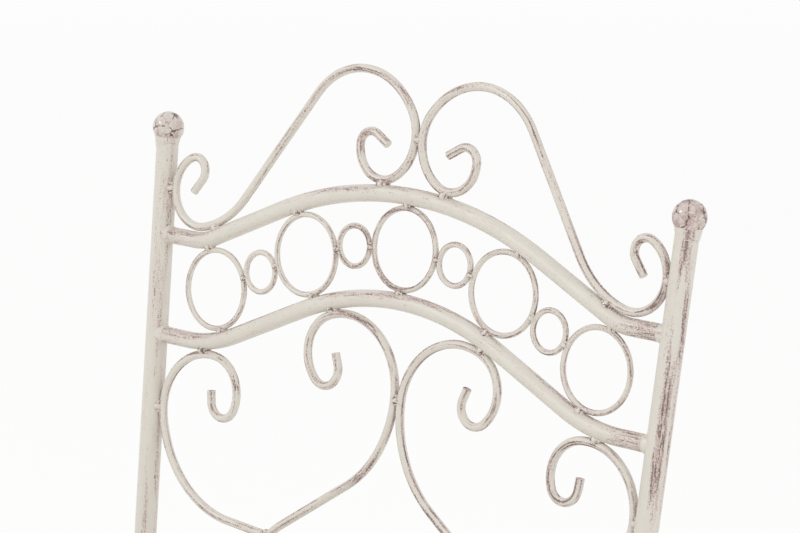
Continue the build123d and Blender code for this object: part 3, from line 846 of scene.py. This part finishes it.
class CHAIR_OT_finials(bpy.types.Operator):
    """Models the ball finials with the weld under each ball, in a thick and cracked coat"""

    bl_idname = "chair.finials"
    bl_label = "Ball finials"

    def execute(self, context):
        for count, (side, name, settled) in enumerate(zip(SIDES, FINIALS, BALL_SETTLED)):
            rub = Rub(FINIAL_RUB, cracked=True, settled=settled, gloss=BALL_GLOSS)
            finish = rubbed_paint(f"cracked_enamel_on_{side}_finial", rub)
            post_finish = bpy.data.materials[POST_FINISH + side]
            self.ball(context.scene.chair.finial, name, count, finish, post_finish)
        return {"FINISHED"}

    def ball(self, finial, name, count, finish, post_finish):
        """A ball with its lower rows drawn out to a tapering weld, which has the post's finish."""
        low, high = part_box(name)
        radius = (high.x - low.x) / 2
        centre = Vector(((low.x + high.x) / 2, (low.y + high.y) / 2, high.z - radius))
        bpy.ops.object.select_all(action="DESELECT")
        bpy.ops.mesh.primitive_uv_sphere_add(segments=BALL_SIDES, ring_count=BALL_ROWS, radius=radius)
        piece = bpy.context.view_layer.objects.active
        piece.name = name.replace("finial", "welded_finial")
        piece.data.name = piece.name

        # the rows below the weld's upper edge are taken away
        edge = POST_RADIUS + finial.weld_leg
        last = math.ceil(math.asin(edge / radius) / math.pi * BALL_ROWS)
        floor = -radius * math.cos(last * math.pi / BALL_ROWS)
        bpy.ops.object.mode_set(mode="EDIT")
        bpy.ops.mesh.select_mode(type="VERT")
        bpy.ops.mesh.select_all(action="DESELECT")
        bpy.ops.object.mode_set(mode="OBJECT")
        for vertex in piece.data.vertices:
            vertex.select = vertex.co.z < floor - ROW_SLACK
        bpy.ops.object.mode_set(mode="EDIT")
        bpy.ops.mesh.delete(type="VERT")
        bpy.ops.mesh.select_non_manifold(extend=False)

        # the open edge is drawn down the post, turned in against it and closed
        width = radius * math.sin(last * math.pi / BALL_ROWS)
        for drop, proud, lumps in WELD_PROFILE:
            down = (0, 0, -drop * finial.weld_height)
            bpy.ops.mesh.extrude_region_move(TRANSFORM_OT_translate={"value": down})
            target = POST_RADIUS + proud * finial.weld_leg
            bpy.ops.transform.resize(value=(target / width, target / width, 1.0))
            bpy.ops.transform.vertex_random(offset=lumps * finial.lumps, seed=count + WELD_SEED)
            width = target
        bpy.ops.mesh.edge_face_add()

        # the ball gets the lumps of its thick paint
        bpy.ops.mesh.select_all(action="DESELECT")
        bpy.ops.object.mode_set(mode="OBJECT")
        for vertex in piece.data.vertices:
            vertex.select = vertex.co.z > floor
        bpy.ops.object.mode_set(mode="EDIT")
        bpy.ops.transform.vertex_random(offset=finial.lumps, seed=count + BALL_SEED)
        bpy.ops.mesh.select_all(action="SELECT")
        bpy.ops.mesh.normals_make_consistent(inside=False)
        bpy.ops.object.mode_set(mode="OBJECT")
        subdivide(piece, 2)
        piece.data.materials.append(finish)
        piece.data.materials.append(post_finish)
        for face in piece.data.polygons:
            face.material_index = int(face.center.z < floor)
        lean = Vector((0, 0, 1)).rotation_difference(BACK_UP).to_matrix().to_4x4()
        piece.data.transform(Matrix.Translation(centre) @ lean)
        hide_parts(name)
        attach(piece, BODY)


class CHAIR_OT_rails(bpy.types.Operator):
    """Paints the rails of the back, browner towards the posts"""

    bl_idname = "chair.rails"
    bl_label = "Back rails"

    def execute(self, context):
        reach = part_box("upper_back_rail")[1].x
        ends = (reach - RAIL_END_START, reach - RAIL_END_FULL)
        rub = Rub(RAIL_RUB, RAIL_RADIUS, facing=RAIL_WIPED, blush_end=ends)
        coat(RAILS, rubbed_paint("rubbed_enamel_on_rails", rub))
        return {"FINISHED"}


class CHAIR_OT_rings(bpy.types.Operator):
    """Paints the wire rings"""

    bl_idname = "chair.rings"
    bl_label = "Wire rings"

    def execute(self, context):
        rub = Rub(RING_RUB, WIRE_RADIUS, drift=RING_DRIFT)
        coat(RINGS, rubbed_paint("rubbed_enamel_on_rings", rub))
        return {"FINISHED"}


class CHAIR_OT_scrolls(bpy.types.Operator):
    """Paints the scrolls of the crest and of the hearts"""

    bl_idname = "chair.scrolls"
    bl_label = "Scrolls"

    def execute(self, context):
        crest = Rub(SCROLL_RUB, ROD_RADIUS, drift=CREST_DRIFT)
        coat(CREST_SCROLLS, rubbed_paint("rubbed_enamel_on_crest", crest))
        hearts = Rub(SCROLL_RUB, ROD_RADIUS)
        coat(HEART_SCROLLS, rubbed_paint("rubbed_enamel_on_hearts", hearts))
        return {"FINISHED"}


class CHAIR_OT_seat(bpy.types.Operator):
    """Models the slats, and paints them, the seat frame and the stretchers"""

    bl_idname = "chair.seat"
    bl_label = "Seat and stretchers"

    def execute(self, context):
        first, second = [sum(corner.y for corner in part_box(name)) / 2 for name in SLATS[:2]]
        low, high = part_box(SLATS[0])
        arris = (first, second - first, (high.y - low.y) / 2)
        enamel = rubbed_paint("rubbed_enamel_on_slats", Rub(SLAT_RUB, run=ACROSS_RUN, arris=arris))
        for name in SLATS:
            self.slat(context.scene.chair.seat, name, enamel)
        for names, finish, rub in (
            (CROSS_BARS, "cross_bars", Rub(SEAT_BAR_RUB, run=ACROSS_RUN)),
            (SIDE_BARS, "side_bars", Rub(SEAT_BAR_RUB, run=DEEP_RUN)),
            (SIDE_STRETCHERS, "stretchers", Rub(STRETCHER_RUB, STRETCHER_RADIUS)),
            (CROSS_STRETCHER, "cross_stretcher", Rub(STRETCHER_RUB, CROSS_RADIUS)),
        ):
            coat(names, rubbed_paint(f"rubbed_enamel_on_{finish}", rub))
        return {"FINISHED"}

    def slat(self, seat, name, enamel):
        """A slat with the eased edges of rolled flat bar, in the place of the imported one."""
        piece = loose_copy(name)
        piece.name = f"rolled_{name}"
        piece.data.name = piece.name
        bpy.ops.object.mode_set(mode="EDIT")
        bpy.ops.mesh.select_mode(type="EDGE")
        bpy.ops.mesh.select_all(action="SELECT")
        bpy.ops.mesh.remove_doubles(threshold=MERGE)
        bpy.ops.mesh.dissolve_limited(angle_limit=FLAT_ANGLE)
        bpy.ops.mesh.select_all(action="DESELECT")
        bpy.ops.mesh.edges_select_sharp(sharpness=SHARP_ANGLE)
        bpy.ops.mesh.bevel(offset=seat.eased_edge, segments=EDGE_SEGMENTS, affect="EDGES")
        bpy.ops.object.mode_set(mode="OBJECT")
        bpy.ops.mesh.customdata_custom_splitnormals_clear()
        bpy.ops.object.shade_smooth_by_angle(angle=SMOOTH_ANGLE)
        piece.data.materials.clear()
        piece.data.materials.append(enamel)
        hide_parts(name)
        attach(piece, BODY)


class CHAIR_OT_caps(bpy.types.Operator):
    """Gives the foot caps their moulded plastic"""

    bl_idname = "chair.caps"
    bl_label = "Foot caps"

    def execute(self, context):
        coat(FOOT_CAPS, moulded_cap("moulded_polyethylene"))
        return {"FINISHED"}


def seats_of(group):
    """Middle of every bead in a packed group of welds, the way from the thinner welded bar to the thicker
    one, and the radii of the two."""
    graph = bpy.context.evaluated_depsgraph_get()
    neighbours = [
        (BVHTree.FromObject(nodes[name], graph), radius)
        for names, radius in (
            (RINGS, WIRE_RADIUS), (CREST_SCROLLS + HEART_SCROLLS, ROD_RADIUS),
            (RAILS, RAIL_RADIUS), (POSTS, POST_RADIUS),
        )
        for name in names
    ]
    loose_copy(group)
    bpy.ops.object.mode_set(mode="EDIT")
    bpy.ops.mesh.select_all(action="SELECT")
    bpy.ops.mesh.remove_doubles(threshold=MERGE)
    bpy.ops.mesh.separate(type="LOOSE")
    bpy.ops.object.mode_set(mode="OBJECT")
    beads = list(bpy.context.selected_objects)
    found = []
    for bead in beads:
        corners = [Vector(corner) for corner in bead.bound_box]
        middle = sum(corners, Vector()) / len(corners)
        hits = []
        for tree, radius in neighbours:
            _, normal, _, distance = tree.find_nearest(middle)
            hits.append((distance, radius, normal))
        touching = sorted(hits, key=lambda hit: hit[0])[:2]
        thin, thick = sorted(touching, key=lambda hit: hit[1])
        across = thin[2] - thick[2]
        across -= across.dot(BACK_OUT) * BACK_OUT
        found.append((middle, across.normalized(), thin[1], thick[1]))
    for bead in beads:
        bpy.data.objects.remove(bead)
    return sorted(found, key=lambda seat: (round(seat[0].x, 4), seat[0].z))


class CHAIR_OT_beads(bpy.types.Operator):
    """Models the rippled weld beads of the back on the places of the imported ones"""

    bl_idname = "chair.beads"
    bl_label = "Weld beads"

    def execute(self, context):
        weld = context.scene.chair.weld
        # the welds' paint darkens each bead with painted shade where its mesh is marked
        finish = rubbed_paint("thick_enamel_with_painted_shade_on_welds", Rub(BEAD_RUB, hollows=True, gloss=THICK_GLOSS))
        for group in BEAD_GROUPS:
            beads = []
            for count, (middle, across, thin, thick) in enumerate(seats_of(group)):
                beads.append(self.bead(weld, count))
                half = weld.wire_bead if thin == WIRE_RADIUS else weld.rod_bead
                size = [part + weld.spread * (thick - thin) for part in half]
                middle += weld.lean * (thick - thin) * across
                along = across.cross(BACK_OUT)
                turn = Matrix((across, BACK_OUT, along)).transposed().to_4x4()
                stretch = Matrix.Diagonal((*size, 1.0))
                beads[-1].data.transform(Matrix.Translation(middle) @ turn @ stretch)
            bpy.ops.object.select_all(action="DESELECT")
            for bead in beads:
                bead.select_set(True)
            context.view_layer.objects.active = beads[0]
            bpy.ops.object.join()
            piece = context.view_layer.objects.active
            piece.name = group.replace("beads", "ripples")
            piece.data.name = piece.name
            piece.data.materials.append(finish)
            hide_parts(group)
            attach(piece, BODY)
        return {"FINISHED"}

    def bead(self, weld, count):
        """One bead of unit half sizes, with ridges round its length, a little unevenness, and a mesh mark
        for painted shade in the hollows between ridges and low on its sides.
        """
        bpy.ops.object.select_all(action="DESELECT")
        rows = RIPPLE_ROWS * weld.ripples
        bpy.ops.mesh.primitive_uv_sphere_add(segments=BEAD_SIDES, ring_count=rows, radius=1.0)
        bead = bpy.context.view_layer.objects.active
        bpy.ops.object.mode_set(mode="EDIT")
        bpy.ops.mesh.select_all(action="DESELECT")
        bpy.ops.object.mode_set(mode="OBJECT")
        # painted shade: the mark is full in the hollows between ridges and low on the sides, and fades out
        # towards the top
        brown = bead.data.attributes.new(PAINTED_SHADE_MARK, "FLOAT", "POINT")
        for vertex in bead.data.vertices:
            row = round(math.acos(max(-1.0, min(1.0, vertex.co.z))) / math.pi * rows)
            vertex.select = row % RIPPLE_ROWS == 0 and 0 < row < rows
            foot = min(1.0, max(0.0, (FOOT_TOP - abs(vertex.co.y)) / FOOT_FADE))
            brown.data[vertex.index].value = max(FOOT_PAINTED_SHADE * foot, HOLLOW_PAINTED_SHADE * vertex.select)
        bpy.ops.object.mode_set(mode="EDIT")
        girth = 1 - weld.ripple_depth
        bpy.ops.transform.resize(value=(girth, girth, 1.0))
        bpy.ops.mesh.select_all(action="SELECT")
        bpy.ops.transform.vertex_random(offset=weld.uneven, seed=count)
        bpy.ops.object.mode_set(mode="OBJECT")
        subdivide(bead, 1)
        return bead


class CHAIR_OT_collars(bpy.types.Operator):
    """Paints the welds at the ends of rails, stretchers, seat bars and slats"""

    bl_idname = "chair.collars"
    bl_label = "End welds"

    def execute(self, context):
        coat(COLLARS, rubbed_paint("rubbed_enamel_on_end_welds", Rub(END_WELD_RUB)))
        return {"FINISHED"}


def seen_share(tree):
    """1 for a ray that the viewer sees along, straight, mirrored or through glass, and 0 for the rest."""
    ray = add_node(tree, "ShaderNodeLightPath")
    mirrored = add_node(
        tree, "ShaderNodeMath", {0: (ray, "Is Camera Ray"), 1: (ray, "Is Glossy Ray")}, operation="MAXIMUM"
    )
    return add_node(
        tree, "ShaderNodeMath", {0: (mirrored, "Value"), 1: (ray, "Is Transmission Ray")},
        operation="MAXIMUM",
    )


class CHAIR_OT_stage(bpy.types.Operator):
    """Lays the floor, hangs the lamps and sets up the camera"""

    bl_idname = "chair.stage"
    bl_label = "Floor, light and camera"

    def execute(self, context):
        stage = context.scene.chair.stage
        self.floor(stage)
        self.sky(context.scene, stage)
        self.lamp("key_lamp", stage.key_light, stage.key_size, stage.key_place, stage.lamp_aim)
        self.lamp("fill_lamp", stage.fill_light, stage.fill_size, stage.fill_place, stage.lamp_aim)
        bpy.ops.object.camera_add(location=stage.camera_place)
        camera = context.object
        camera.name = "photo_camera"
        camera.rotation_euler = Vector(stage.camera_aim).to_track_quat("-Z", "Y").to_euler()
        camera.data.sensor_width = SENSOR_WIDTH
        camera.data.lens = stage.lens
        camera.data.clip_end = VIEW_END
        context.scene.camera = camera
        context.scene.view_settings.view_transform = "Standard"
        return {"FINISHED"}

    def floor(self, stage):
        """Painted floor that takes the chair's shadow and turns to plain white further off."""
        bpy.ops.object.select_all(action="DESELECT")
        bpy.ops.mesh.primitive_circle_add(vertices=FLOOR_SIDES, radius=stage.floor_radius, fill_type="NGON")
        floor = bpy.context.object
        floor.name = "studio_floor"
        material, tree = bare_material("matt_white_floor")
        seen = seen_share(tree)
        place = add_node(tree, "ShaderNodeTexCoord")
        away = add_node(tree, "ShaderNodeVectorMath", {0: (place, "Object")}, operation="LENGTH")
        white = add_node(
            tree, "ShaderNodeMapRange",
            {
                "Value": (away, "Value"), "From Min": stage.white_start, "From Max": stage.white_end,
                "To Min": stage.white_least,
            },
        )
        share = add_node(
            tree, "ShaderNodeMath", {0: (seen, "Value"), 1: (white, "Result")}, operation="MULTIPLY"
        )
        matt = add_node(
            tree, "ShaderNodeBsdfDiffuse", {"Color": opaque(stage.floor_colour), "Roughness": 0.5}
        )
        glow = add_node(tree, "ShaderNodeEmission", {"Color": WHITE, "Strength": 1.0})
        mixed = add_node(
            tree, "ShaderNodeMixShader", {0: (share, "Value"), 1: (matt, "BSDF"), 2: (glow, "Emission")}
        )
        add_node(tree, "ShaderNodeOutputMaterial", {"Surface": (mixed, "Shader")})
        floor.data.materials.append(material)

    def sky(self, scene, stage):
        """Even white light all round, seen as white."""
        scene.world = bpy.data.worlds.new("white_studio")
        scene.world.use_nodes = True
        tree = scene.world.node_tree
        tree.nodes.clear()
        seen = seen_share(tree)
        strength = add_node(
            tree, "ShaderNodeMapRange", {"Value": (seen, "Value"), "To Min": stage.sky_light}
        )
        light = add_node(
            tree, "ShaderNodeBackground", {"Color": WHITE, "Strength": (strength, "Result")}
        )
        add_node(tree, "ShaderNodeOutputWorld", {"Surface": (light, "Background")})

    def lamp(self, name, power, size, place, aim):
        """A soft square lamp that looks at the chair's back."""
        bpy.ops.object.light_add(type="AREA", location=place)
        lamp = bpy.context.object
        lamp.name = name
        lamp.data.energy = power
        lamp.data.size = size
        lamp.rotation_euler = (Vector(aim) - Vector(place)).to_track_quat("-Z", "Y").to_euler()


class CHAIR_PT_panel(bpy.types.Panel):
    """Lists the steps that dress the chair"""

    bl_idname = "CHAIR_PT_panel"
    bl_label = "Garden chair"
    bl_space_type = "VIEW_3D"
    bl_region_type = "UI"
    bl_category = "Chair"

    def draw(self, context):
        for step in STEPS:
            self.layout.operator(step.bl_idname)


STEPS = (
    CHAIR_OT_posts,
    CHAIR_OT_finials,
    CHAIR_OT_rails,
    CHAIR_OT_rings,
    CHAIR_OT_scrolls,
    CHAIR_OT_seat,
    CHAIR_OT_caps,
    CHAIR_OT_beads,
    CHAIR_OT_collars,
    CHAIR_OT_stage,
)
CLASSES = (
    PaintSettings,
    CapSettings,
    WeldSettings,
    FinialSettings,
    SeatSettings,
    StageSettings,
    ChairSettings,
    *STEPS,
    CHAIR_PT_panel,
)


def register():
    """Registers the classes and gives the scene its settings."""
    for kind in CLASSES:
        bpy.utils.register_class(kind)
    bpy.types.Scene.chair = PointerProperty(
        name="Chair", description="Settings of the garden chair", type=ChairSettings
    )


def unregister():
    """Takes the settings and the classes away again."""
    del bpy.types.Scene.chair
    for kind in reversed(CLASSES):
        bpy.utils.unregister_class(kind)


def main():
    """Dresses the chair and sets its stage."""
    register()
    bpy.ops.object.select_all(action="DESELECT")
    bpy.ops.chair.posts()
    bpy.ops.chair.finials()
    bpy.ops.chair.rails()
    bpy.ops.chair.rings()
    bpy.ops.chair.scrolls()
    bpy.ops.chair.seat()
    bpy.ops.chair.caps()
    bpy.ops.chair.beads()
    bpy.ops.chair.collars()
    bpy.ops.chair.stage()


if __name__ == "__main__":
    main()
